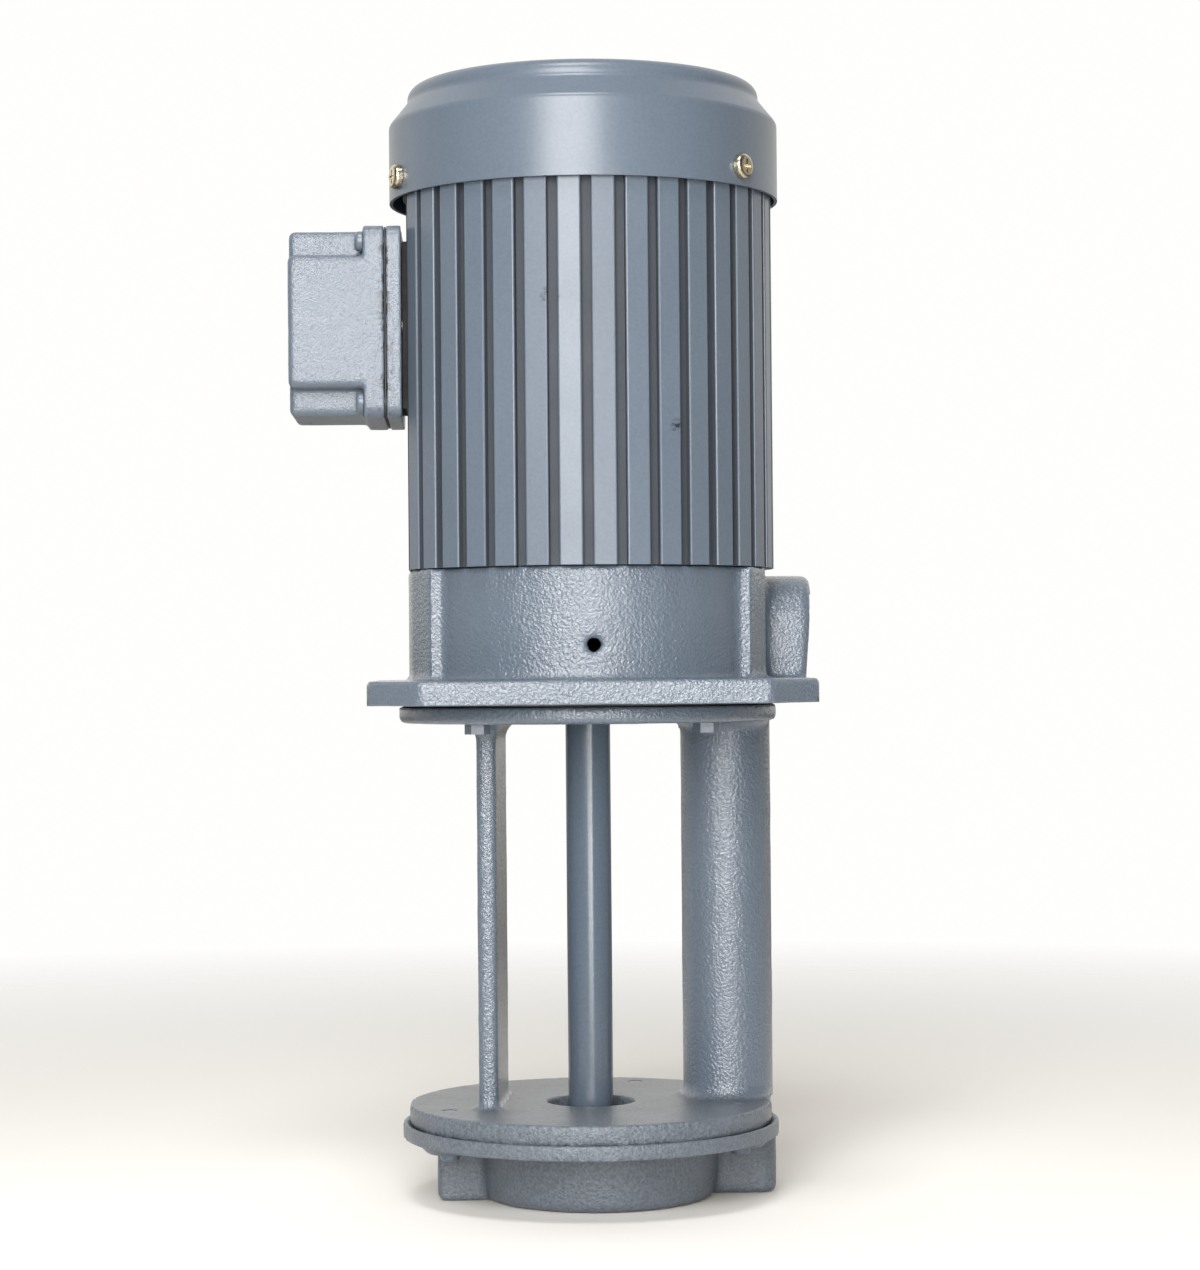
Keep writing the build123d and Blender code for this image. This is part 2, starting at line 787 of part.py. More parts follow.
def stator_core():
    outline = Circle(frame_bore_r - seat_gap) - Circle(stator_bore_r)
    for k in range(slot_count):
        deep = (stator_bore_r + slot_lip + slot_r) / 2
        slot = Pos(deep, 0) * Rectangle(slot_r - stator_bore_r - slot_lip, slot_w)
        slot += Pos(stator_bore_r + slot_lip / 2, 0) * Rectangle(slot_lip + over, slot_mouth)
        outline -= Rot(0, 0, 360 / slot_count * (k + 0.5)) * slot
    for angle in tie_bolt_angles:
        notch_in = tie_bolt_pcr - m5_r - tie_notch_gap
        notch_w = 2 * (m5_r + tie_notch_gap)
        notch = Pos((notch_in + frame_r) / 2, 0) * Rectangle(frame_r - notch_in, notch_w)
        outline -= Rot(0, 0, angle) * notch
    return Pos(0, 0, stack_z) * extrude(outline, stack_l)


def stator_windings():
    slot_in = stator_bore_r + slot_lip + winding_gap
    slot_out = slot_r - winding_gap
    bar_w = slot_w - 2 * winding_gap
    body = tube(end_turn_r, slot_in + over, stack_z - end_turn_l, stack_z - winding_gap)
    body += tube(end_turn_r, slot_in + over, stack_top + winding_gap, stack_top + end_turn_l)
    middle = (stack_z + stack_top) / 2
    reach = stack_l / 2 + end_turn_l - edge_tol
    outer = [edge for edge in body.edges() if abs(edge.center().Z - middle) > reach]
    body = fillet(outer, end_turn_edge_r)
    for k in range(slot_count):
        bar = block(slot_in, slot_out, -bar_w / 2, bar_w / 2, stack_z - over, stack_top + over)
        body += Rot(0, 0, 360 / slot_count * (k + 0.5)) * bar
    return body


def bar_places():
    return [polar(bar_pcr, 360 / bar_count * k) for k in range(bar_count)]


def rotor_core():
    outline = Circle(rotor_r) - Circle(core_seat_r + seat_gap)
    outline -= [Pos(*place) * Circle(bar_r + seat_gap) for place in bar_places()]
    return Pos(0, 0, stack_z) * extrude(outline, stack_l)


def rotor_cage():
    ring_r = rotor_r - end_ring_gap
    rings = Circle(ring_r) - Circle(ring_r - end_ring_w)
    bars = Sketch() + [Pos(*place) * Circle(bar_r) for place in bar_places()]
    body = Pos(0, 0, stack_z - end_ring_l) * extrude(rings, end_ring_l)
    body += Pos(0, 0, stack_top) * extrude(rings, end_ring_l)
    return body + Pos(0, 0, stack_z - over) * extrude(bars, stack_l + 2 * over)


# Shaft, fan and their clip

def motor_shaft():
    body = rod(thread_r, shaft_bottom, impeller_bottom)
    body += rod(impeller_seat_r, impeller_bottom, impeller_top)
    body += rod(column_shaft_r, impeller_top, seal_bottom - over)
    body += rod(lower_seat_r, seal_bottom - over, bearing_seat_top)
    body += rod(core_seat_r, bearing_seat_top, frame_top)
    body += rod(upper_seat_r, frame_top, fan_z)
    body += rod(fan_seat_r, fan_z, fan_hub_top + fan_tail_l)
    body -= tube(fan_seat_r + over, fan_seat_r - clip_groove, fan_hub_top, fan_hub_top + clip_t)
    return body - impeller_key_box(seat_gap)


def fan_clip():
    outer = fan_seat_r + clip_w
    bottom = fan_hub_top + clip_gap
    top = fan_hub_top + clip_t - clip_gap
    ring = tube(outer, fan_seat_r - clip_groove + seat_gap, bottom, top)
    return ring - block(0, outer + over, -clip_mouth / 2, clip_mouth / 2, bottom - over, top + over)


def cooling_fan():
    body = rod(fan_hub_r, fan_z, fan_hub_top)
    body += rod(fan_r, fan_z, fan_z + fan_plate_t)
    for k in range(fan_blade_count):
        top = fan_z + fan_blade_h
        blade = block(fan_hub_r - over, fan_r, -fan_blade_t / 2, fan_blade_t / 2, fan_z, top)
        body += Rot(0, 0, 360 / fan_blade_count * k) * blade
    return body - rod(fan_seat_r + seat_gap, fan_z - over, fan_hub_top + fan_blade_h)


# Bearings, seal and the small parts round them

def inner_ring(bore_r, w, ball_r, ball_pcr, z):
    body = tube(ball_pcr - land_share * ball_r, bore_r + seat_gap, z, z + w)
    return body - Pos(0, 0, z + w / 2) * Torus(ball_pcr, ball_r + ball_gap)


def outer_ring(outer_r, w, ball_r, ball_pcr, z):
    body = tube(outer_r, ball_pcr + land_share * ball_r, z, z + w)
    return body - Pos(0, 0, z + w / 2) * Torus(ball_pcr, ball_r + ball_gap)


def ball_set(w, ball_r, ball_pcr, z):
    mid = z + w / 2
    half = ball_r + cage_margin
    cage = tube(ball_pcr + cage_t / 2, ball_pcr - cage_t / 2, mid - half, mid + half)
    balls = []
    for k in range(ball_count):
        angle = 360 / ball_count * k
        cage -= radial(ball_pcr, angle, mid) * rod(ball_r + 2 * ball_gap, -cage_t, cage_t)
        balls.append(Pos(*polar(ball_pcr, angle), mid) * Sphere(ball_r))
    return group([cage, *balls])


def bearing_cap():
    body = tube(hub_r, seal_shoulder_r, bearing_seat_top, bearing_seat_top + bearing_cap_t)
    for angle in cap_screw_places():
        body -= rod(m4_r + free_gap, bearing_seat_top - over, bracket_top + over,
                    *polar(lower_bearing_r + hub_wall / 2, angle))
    return body


def bearing_cap_screws():
    screw = pan_screw(m4_pan_r, m4_pan_h, m4_r, cap_screw_l + bearing_cap_t - screw_tip_gap)
    places = [polar(lower_bearing_r + hub_wall / 2, angle) for angle in cap_screw_places()]
    return group([Pos(*place, bearing_seat_top + bearing_cap_t) * screw for place in places])


def wave_washer():
    outer = upper_bearing_r - free_gap
    inner = upper_bearing_r - wave_w
    return tube(outer, inner, upper_bearing_top, upper_bearing_top + wave_t)


def oil_seal():
    lip_r = lower_seat_r + running_gap
    lip_bottom = seal_bottom + seal_lip_rise
    lip_back = lip_r + seal_lip_slope
    return spun([(lip_r, lip_bottom), (lip_r + seal_wall, lip_bottom),
                 (lip_r + seal_wall, seal_top - seal_wall), (seal_r - seal_wall, seal_top - seal_wall),
                 (seal_r - seal_wall, seal_bottom), (seal_r, seal_bottom), (seal_r, seal_top),
                 (lip_back, seal_top), (lip_back, lip_bottom + seal_lip_l)])


def slinger():
    z = flange_t + slinger_h
    bore = column_shaft_r + seat_gap
    hub = bore + slinger_hub_w
    top = z + slinger_hub_h
    rim_z = z - slinger_drop
    return spun([(bore, z), (hub, z), (slinger_r, rim_z), (slinger_r, rim_z + slinger_t),
                 (hub, z + slinger_t), (hub, top), (bore, top)])


# Impeller and what holds it

def impeller_key_box(extra):
    half = key_w / 2 + extra
    inner = impeller_seat_r - key_sink - extra
    outer = impeller_seat_r + key_w - key_sink + extra
    top = impeller_top - key_top_gap + extra
    return block(inner, outer, -half, half, top - key_l - 2 * extra, top)


def vane():
    """A backward-swept vane between two arcs."""
    tip = polar(impeller_r, vane_sweep)
    mid = polar((vane_inner_r + impeller_r) / 2, vane_sweep * vane_mid_share)
    spine = ThreePointArc((vane_inner_r, 0), mid, tip)
    outline = trace(spine, vane_t)
    return Pos(0, 0, impeller_plate_top) * extrude(outline, vane_h)


def impeller():
    body = rod(impeller_r, impeller_bottom, impeller_plate_top)
    body += rod(impeller_hub_r, impeller_bottom, impeller_top)
    blade = vane() & rod(impeller_r, impeller_bottom, impeller_top)
    for k in range(vane_count):
        body += Rot(0, 0, 360 / vane_count * k) * blade
    body -= rod(impeller_seat_r + seat_gap, impeller_bottom - over, impeller_top + over)
    return body - impeller_key_box(seat_gap) - impeller_key_slot()


def impeller_key_slot():
    half = key_w / 2 + seat_gap
    outer = impeller_seat_r + key_w - key_sink + seat_gap
    return block(0, outer, -half, half, impeller_top - key_top_gap, impeller_top + over)


def impeller_nut():
    body = hex_prism(nut_af, nut_bottom, washer_bottom)
    return body - rod(thread_r + thread_gap, nut_bottom - over, washer_bottom + over)


# Terminal box on the frame's flat

def rounded_slab(half_y, half_z, x0, x1, corner_r):
    outline = fillet(Rectangle(2 * half_y, 2 * half_z).vertices(), corner_r)
    slab = extrude(outline, abs(x1 - x0))
    return Plane(origin=(min(x0, x1), 0, box_z), x_dir=(0, 1, 0), z_dir=(1, 0, 0)).location * slab


def box_screw_places():
    return [(y, box_z + z) for y in (-box_screw_y, box_screw_y) for z in (-box_screw_z, box_screw_z)]


def box_base_gasket():
    half_y = fixing_screw_y + fixing_pad_margin
    half_z = box_pocket_half_z
    body = block(box_gasket_x, -frame_flat_x, -half_y, half_y, box_z - half_z, box_z + half_z)
    body -= rod_x(wire_hole_r, box_gasket_x - over, -frame_flat_x + over, 0, wire_hole_z)
    for y in (-fixing_screw_y, fixing_screw_y):
        body -= rod_x(m4_r + free_gap, box_gasket_x - over, -frame_flat_x + over, y, box_z)
    return body


def terminal_box_base():
    body = rounded_slab(box_half_y, box_half_z, box_base_x, box_gasket_x, box_corner_r)
    pocket = (box_pocket_half_y, box_pocket_half_z)
    body -= rounded_slab(*pocket, box_base_x - over, box_floor_x, box_pocket_r)
    body -= rod_x(wire_hole_r, box_base_x, -frame_flat_x, 0, wire_hole_z)
    for y in (-fixing_screw_y, fixing_screw_y):
        body -= rod_x(m4_r + free_gap, box_base_x, -frame_flat_x, y, box_z)
    for y, z in box_screw_places():
        hole_end = box_base_x + box_screw_bite + screw_bottom_gap
        body -= rod_x(m4_r + thread_gap, box_base_x - over, hole_end, y, z)
    earth_z = box_z - earth_drop
    body -= rod_x(m4_r + thread_gap, box_floor_x - over, box_gasket_x + over, earth_y, earth_z)
    return body


def box_cover_gasket():
    x1 = box_base_x
    x0 = x1 - box_gasket_t
    inset = box_gasket_inset
    body = rounded_slab(box_half_y - inset, box_half_z - inset, x0, x1, box_corner_r)
    body -= rounded_slab(box_pocket_half_y, box_pocket_half_z, x0 - over, x1 + over, box_pocket_r)
    for y, z in box_screw_places():
        body -= rod_x(m4_r + free_gap, x0 - over, x1 + over, y, z)
    return body


def cover_body(inset, x0, x1):
    """The cross-shaped hood: a full-width band between two narrower ends."""
    corner = max(box_body_corner_r - inset, box_wall_corner_r)
    band = rounded_slab(box_half_y - inset, box_band_half_z - inset, x0, x1, corner)
    ends = rounded_slab(box_end_half_y - inset, box_end_half_z - inset, x0, x1, corner)
    return band + ends


def terminal_box_cover():
    rim_in = box_base_x - box_gasket_t
    hood = cover_body(0, box_face_x, box_rim_x)
    hood = fillet(hood.faces().sort_by(Axis.X)[0].edges(), box_edge_r)
    rim = rounded_slab(box_half_y, box_half_z, box_rim_x, rim_in, box_corner_r)
    rim = fillet(rim.faces().sort_by(Axis.X)[0].edges(), box_rim_edge_r)
    band_foot = rounded_slab(box_half_y, box_band_half_z, box_rim_x - over, rim_in, box_body_corner_r)
    body = hood + rim + band_foot
    body -= cover_body(box_wall, box_face_x + box_wall, box_rim_x + over)
    pocket = (box_end_half_y - box_wall, box_end_half_z - box_wall)
    body -= rounded_slab(*pocket, box_rim_x, rim_in + over, box_pocket_r)
    for y, z in box_screw_places():
        body -= rod_x(m4_r + free_gap, box_rim_x - over, rim_in + over, y, z)
    bush_x = (box_face_x + box_rim_x) / 2
    body -= rod_y(bush_r + seat_gap, 0, box_half_y + over, bush_x, box_z)
    return body


def box_cover_screws():
    length = box_rim_t + box_gasket_t + box_screw_bite
    screw = pan_screw(m4_pan_r, m4_pan_h, m4_r, length)
    return group([along(box_rim_x, y, z, (-1, 0, 0)) * screw for y, z in box_screw_places()])


def box_fixing_screws():
    length = box_floor_t + box_gasket_t + (frame_flat_x - frame_bore_r) - screw_tip_gap
    screw = pan_screw(m4_pan_r, m4_pan_h, m4_r, length)
    places = (-fixing_screw_y, fixing_screw_y)
    return group([along(box_floor_x, y, box_z, (-1, 0, 0)) * screw for y in places])


def earth_screw():
    screw = pan_screw(m4_pan_r, m4_pan_h, m4_r, box_floor_t)
    return along(box_floor_x, earth_y, box_z - earth_drop, (-1, 0, 0)) * screw


def terminal_block():
    z = box_z + block_rise
    z0 = z - block_half_z
    z1 = z + block_half_z
    front = box_floor_x - block_t
    body = block(front, box_floor_x, -block_half_y, block_half_y, z0, z1)
    for y in stud_places():
        wall_y0 = y + (stud_pitch - block_wall_t) / 2
        body += block(front - block_wall_h, front, wall_y0, wall_y0 + block_wall_t, z0, z1)
        body -= rod_x(stud_r + thread_gap, front - over, front + stud_depth + over, y, z)
    return body


def stud_places():
    middle = (stud_count - 1) / 2
    return [(k - middle) * stud_pitch for k in range(stud_count)]


def terminal_studs():
    nut = hex_prism(stud_nut_af, 0, stud_nut_h)
    stud = rod(stud_r, -stud_depth, stud_l) + nut
    place_x = box_floor_x - block_t
    return group([along(place_x, y, box_z + block_rise, (-1, 0, 0)) * stud for y in stud_places()])


def cable_bush():
    x = (box_face_x + box_rim_x) / 2
    wall_out = box_half_y
    wall_in = wall_out - box_wall
    body = rod_y(bush_r, wall_in - bush_flange_t, wall_out + bush_flange_t, x, box_z)
    body += rod_y(bush_r + bush_flange, wall_out, wall_out + bush_flange_t, x, box_z)
    body += rod_y(bush_r + bush_lip, wall_in - bush_flange_t, wall_in, x, box_z)
    return body - rod_y(bush_bore_r, 0, wall_out + bush_flange_t + over, x, box_z)


def build():
    lower = (lower_bearing_w, lower_ball_r, lower_ball_pcr, bearing_seat_z)
    upper = (upper_bearing_w, upper_ball_r, upper_ball_pcr, frame_top)
    pieces = {
        "motor_bracket": motor_bracket(),
        "pump_column": pump_column(),
        "column_gasket": column_gasket(),
        "column_bolts": column_bolts(),
        "pump_casing": pump_casing(),
        "casing_gasket": casing_gasket(),
        "casing_screws": casing_screws(),
        "motor_frame": motor_frame(),
        "upper_end_shield": upper_end_shield(),
        "tie_bolts": tie_bolts(),
        "fan_cover": fan_cover(),
        "fan_cover_screws": fan_cover_screws(),
        "stator_core": stator_core(),
        "stator_windings": stator_windings(),
        "rotor_core": rotor_core(),
        "rotor_cage": rotor_cage(),
        "motor_shaft": motor_shaft(),
        "cooling_fan": cooling_fan(),
        "fan_clip": fan_clip(),
        "lower_bearing_inner": inner_ring(lower_seat_r, *lower),
        "lower_bearing_outer": outer_ring(lower_bearing_r, *lower),
        "lower_bearing_balls": ball_set(*lower),
        "upper_bearing_inner": inner_ring(upper_seat_r, *upper),
        "upper_bearing_outer": outer_ring(upper_bearing_r, *upper),
        "upper_bearing_balls": ball_set(*upper),
        "wave_washer": wave_washer(),
        "bearing_cap": bearing_cap(),
        "bearing_cap_screws": bearing_cap_screws(),
        "oil_seal": oil_seal(),
        "slinger": slinger(),
        "impeller": impeller(),
        "impeller_key": impeller_key_box(0),
        "impeller_washer": tube(washer_r, thread_r + thread_gap, washer_bottom, impeller_bottom),
        "impeller_nut": impeller_nut(),
        "box_base_gasket": box_base_gasket(),
        "terminal_box_base": terminal_box_base(),
        "box_cover_gasket": box_cover_gasket(),
        "terminal_box_cover": terminal_box_cover(),
        "box_cover_screws": box_cover_screws(),
        "box_fixing_screws": box_fixing_screws(),
        "earth_screw": earth_screw(),
        "terminal_block": terminal_block(),
        "terminal_studs": terminal_studs(),
        "cable_bush": cable_bush(),
    }
    os.makedirs("parts", exist_ok=True)
    for name, shape in pieces.items():
        save(name, shape)


build()
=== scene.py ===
import json
import math

import bmesh
import bpy
from mathutils import Matrix, Vector, geometry


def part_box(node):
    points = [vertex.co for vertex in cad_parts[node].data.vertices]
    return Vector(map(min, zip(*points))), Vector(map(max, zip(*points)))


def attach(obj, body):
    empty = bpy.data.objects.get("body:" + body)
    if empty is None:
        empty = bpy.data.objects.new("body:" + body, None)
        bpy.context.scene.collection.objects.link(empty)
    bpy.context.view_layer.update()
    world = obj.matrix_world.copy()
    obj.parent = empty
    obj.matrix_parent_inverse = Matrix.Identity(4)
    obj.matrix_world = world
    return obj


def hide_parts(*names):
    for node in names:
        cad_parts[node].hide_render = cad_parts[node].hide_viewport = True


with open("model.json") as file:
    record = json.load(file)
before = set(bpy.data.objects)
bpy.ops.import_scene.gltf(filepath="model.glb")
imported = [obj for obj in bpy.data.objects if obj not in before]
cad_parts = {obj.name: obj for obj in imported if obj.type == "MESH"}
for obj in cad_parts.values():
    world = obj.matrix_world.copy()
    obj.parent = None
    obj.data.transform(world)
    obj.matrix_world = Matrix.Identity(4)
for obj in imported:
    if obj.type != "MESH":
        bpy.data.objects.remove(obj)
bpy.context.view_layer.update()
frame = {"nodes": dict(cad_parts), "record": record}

scene = bpy.context.scene
nodes = frame["nodes"]

# Camera: the photograph's own place and lens, worked out from sizes in it
CAMERA_AT = Vector((-0.043, -1.170, 0.0131))
FOCAL_PX = 3151.0
LONG_SIDE_PX = 1270.0
SENSOR = 36.0
AXIS_LEFT_PX = 13.0
HORIZON_DOWN_PX = 32.4
ROLL = math.radians(0.49)
CLIP_NEAR = 0.05
CLIP_FAR = 20.0


def make_camera():
    data = bpy.data.cameras.new("camera")
    data.sensor_width = SENSOR
    data.lens = FOCAL_PX * SENSOR / LONG_SIDE_PX
    data.clip_start = CLIP_NEAR
    data.clip_end = CLIP_FAR
    cam = bpy.data.objects.new("camera", data)
    scene.collection.objects.link(cam)
    scene.camera = cam
    to_axis = math.atan2(-CAMERA_AT.x, -CAMERA_AT.y)
    yaw = to_axis + math.atan(AXIS_LEFT_PX / FOCAL_PX)
    pitch = math.atan(HORIZON_DOWN_PX / FOCAL_PX)
    forward = Vector((math.sin(yaw) * math.cos(pitch), math.cos(yaw) * math.cos(pitch), math.sin(pitch)))
    right = forward.cross(Vector((0, 0, 1))).normalized()
    up = right.cross(forward)
    rolled_up = up * math.cos(ROLL) + right * math.sin(ROLL)
    rolled_right = forward.cross(rolled_up)
    turn = Matrix((rolled_right, rolled_up, -forward)).transposed()
    cam.matrix_world = Matrix.Translation(CAMERA_AT) @ turn.to_4x4()


make_camera()


# Node helpers

class Nodes:
    """A small wrapper for building a node tree."""

    def __init__(self, tree):
        self.tree = tree
        tree.nodes.clear()

    def add(self, kind, **values):
        node = self.tree.nodes.new(kind)
        for key, value in values.items():
            setattr(node, key, value)
        return node

    def link(self, a, b):
        self.tree.links.new(a, b)

    def coords(self):
        return self.add("ShaderNodeTexCoord").outputs["Object"]

    def noise(self, vector, scale, detail=2.0, rough=0.5, stretch=None):
        node = self.add("ShaderNodeTexNoise")
        node.inputs["Scale"].default_value = scale
        node.inputs["Detail"].default_value = detail
        node.inputs["Roughness"].default_value = rough
        if stretch:
            mapping = self.add("ShaderNodeMapping")
            mapping.inputs["Scale"].default_value = stretch
            self.link(vector, mapping.inputs["Vector"])
            vector = mapping.outputs["Vector"]
        self.link(vector, node.inputs["Vector"])
        return node.outputs["Fac"]

    def ramp(self, value, low, high, out_low, out_high):
        node = self.add("ShaderNodeMapRange")
        node.inputs["From Min"].default_value = low
        node.inputs["From Max"].default_value = high
        node.inputs["To Min"].default_value = out_low
        node.inputs["To Max"].default_value = out_high
        self.link(value, node.inputs["Value"])
        return node.outputs["Result"]

    def mix(self, factor, a, b):
        node = self.add("ShaderNodeMix", data_type="RGBA")
        self.link(factor, node.inputs["Factor"])
        for socket, value in ((node.inputs["A"], a), (node.inputs["B"], b)):
            if hasattr(value, "is_linked"):
                self.link(value, socket)
            else:
                socket.default_value = (*value, 1.0)
        return node.outputs["Result"]

    def math(self, operation, a, b):
        node = self.add("ShaderNodeMath", operation=operation)
        for socket, value in ((node.inputs[0], a), (node.inputs[1], b)):
            if hasattr(value, "is_linked"):
                self.link(value, socket)
            else:
                socket.default_value = value
        return node.outputs["Value"]

    def bump(self, height, distance, normal=None):
        node = self.add("ShaderNodeBump")
        node.inputs["Strength"].default_value = 1.0
        node.inputs["Distance"].default_value = distance
        self.link(height, node.inputs["Height"])
        if normal is not None:
            self.link(normal, node.inputs["Normal"])
        return node.outputs["Normal"]


def new_material(name):
    mat = bpy.data.materials.new(name)
    mat.use_nodes = True
    n = Nodes(mat.node_tree)
    out = n.add("ShaderNodeOutputMaterial")
    shader = n.add("ShaderNodeBsdfPrincipled")
    n.link(shader.outputs["BSDF"], out.inputs["Surface"])
    return mat, n, shader


def shade(colour, factor):
    return tuple(min(1.0, c * factor) for c in colour)


# Noise scales, in waves per metre
TONE_WAVES = 18.0
GLOSS_WAVES = 60.0
CHIP_WAVES = 330.0
WORN_WAVES = 600.0
SPECK_WAVES = 900.0
STREAK_WAVES = 1400.0
GRAIN_WAVES = 4200.0
METAL_TONE_WAVES = 120.0
METAL_GLOSS_WAVES = 300.0
PLAIN_TONE_WAVES = 80.0
PLAIN_GLOSS_WAVES = 200.0

# The part of the noise's range in which a paint, and a metal or a plain stuff, changes
PAINT_RANGE = (0.2, 0.8)
STUFF_RANGE = (0.3, 0.7)

PAINT_IOR = 1.5
STREAK_STRETCH = (1.0, 1.0, 0.02)
CHIP_NEAR = 0.0010
CHIP_REACH = 0.0034


def speckled(n, at, colour, speckle):
    tone = n.noise(at, TONE_WAVES, 3.0)
    body = n.mix(n.ramp(tone, *PAINT_RANGE, 0.0, 1.0), shade(colour, 0.95), shade(colour, 1.05))
    fine = n.noise(at, SPECK_WAVES)
    body = n.mix(n.ramp(fine, 0.50, 0.68, 0.0, speckle), body, shade(colour, 0.45))
    return n.mix(n.ramp(fine, 0.34, 0.50, speckle, 0.0), body, shade(colour, 1.5))


def scuffed(n, at, body, colour, scuffs):
    worn = n.ramp(n.noise(at, WORN_WAVES, 4.0, 0.7), 0.47, 0.53, 0.0, 1.0)
    for place, radius in scuffs:
        away = n.add("ShaderNodeVectorMath", operation="DISTANCE")
        away.inputs[1].default_value = place
        n.link(at, away.inputs[0])
        near = n.ramp(away.outputs["Value"], radius * 0.5, radius, 1.0, 0.0)
        body = n.mix(n.math("MULTIPLY", near, worn), body, shade(colour, 0.22))
    return body


def chipped(n, at, body, colour, chip_x):
    split = n.add("ShaderNodeSeparateXYZ")
    n.link(at, split.inputs["Vector"])
    off = n.math("ABSOLUTE", n.math("SUBTRACT", split.outputs["X"], chip_x), 0.0)
    chips = n.ramp(n.noise(at, CHIP_WAVES, 3.0, 0.6), 0.54, 0.58, 0.0, 1.0)
    near = n.ramp(off, CHIP_NEAR, CHIP_REACH, 1.0, 0.0)
    return n.mix(n.math("MULTIPLY", near, chips), body, shade(colour, 0.28))


def paint(name, colour, rough, pebble, depth, grain, coat=0.0, coat_rough=0.1, streak=0.0,
          scuffs=(), chip_x=None, speckle=0.10):
    """Paint: pebble is the size of its orange peel in metres and depth the peel's height; grain
    and streak are the heights of finer noise; scuffs are places with a radius; chip_x is the plane
    of a joint line with chipped edges; speckle is how much its fine grains differ in tone."""
    mat, n, shader = new_material(name)
    at = n.coords()
    body = speckled(n, at, colour, speckle)
    if scuffs:
        body = scuffed(n, at, body, colour, scuffs)
    if chip_x is not None:
        body = chipped(n, at, body, colour, chip_x)
    n.link(body, shader.inputs["Base Color"])
    gloss = n.noise(at, GLOSS_WAVES, 3.0)
    n.link(n.ramp(gloss, *PAINT_RANGE, rough * 0.92, rough * 1.10), shader.inputs["Roughness"])
    shader.inputs["IOR"].default_value = PAINT_IOR
    normal = n.bump(n.noise(at, 1.0 / pebble, 2.0, 0.55), depth)
    normal = n.bump(n.noise(at, GRAIN_WAVES, 2.0, 0.6), grain, normal)
    if streak:
        normal = n.bump(n.noise(at, STREAK_WAVES, stretch=STREAK_STRETCH), streak, normal)
    n.link(normal, shader.inputs["Normal"])
    if coat:
        shader.inputs["Coat Weight"].default_value = coat
        shader.inputs["Coat Roughness"].default_value = coat_rough
        n.link(normal, shader.inputs["Coat Normal"])
    return mat


def metal(name, colour, rough, grain_waves, grain, tint=None):
    mat, n, shader = new_material(name)
    at = n.coords()
    shader.inputs["Metallic"].default_value = 1.0
    tone = n.ramp(n.noise(at, METAL_TONE_WAVES, 4.0), 0.35, 0.7, 0.0, 1.0)
    n.link(n.mix(tone, colour, tint or shade(colour, 0.8)), shader.inputs["Base Color"])
    gloss = n.noise(at, METAL_GLOSS_WAVES, 3.0)
    n.link(n.ramp(gloss, *STUFF_RANGE, rough * 0.75, rough * 1.3), shader.inputs["Roughness"])
    n.link(n.bump(n.noise(at, grain_waves), grain), shader.inputs["Normal"])
    return mat


def plain(name, colour, rough, grain_waves, grain):
    mat, n, shader = new_material(name)
    at = n.coords()
    tone = n.ramp(n.noise(at, PLAIN_TONE_WAVES, 4.0), *STUFF_RANGE, 0.0, 1.0)
    n.link(n.mix(tone, shade(colour, 0.85), shade(colour, 1.15)), shader.inputs["Base Color"])
    gloss = n.noise(at, PLAIN_GLOSS_WAVES, 3.0)
    n.link(n.ramp(gloss, *STUFF_RANGE, rough * 0.85, rough * 1.1), shader.inputs["Roughness"])
    n.link(n.bump(n.noise(at, grain_waves, 3.0), grain), shader.inputs["Normal"])
    return mat


BLUE_GREY = (0.106, 0.132, 0.166)
SHAFT_GREY = (0.085, 0.110, 0.142)
CASING_GREY = (0.108, 0.126, 0.148)
# The groove colour, about a third as bright as the frame's, is painted shade standing in for the shade
# inside the grooves
GROOVE_SHADE_GREY = (0.034, 0.041, 0.051)
ZINC_YELLOW = (0.66, 0.60, 0.46)
ZINC_DULL = (0.55, 0.48, 0.34)
FRAME_SCUFFS = (((-0.0145, -0.0680, 0.1435), 0.0042), ((0.030, -0.0625, 0.098), 0.0030))

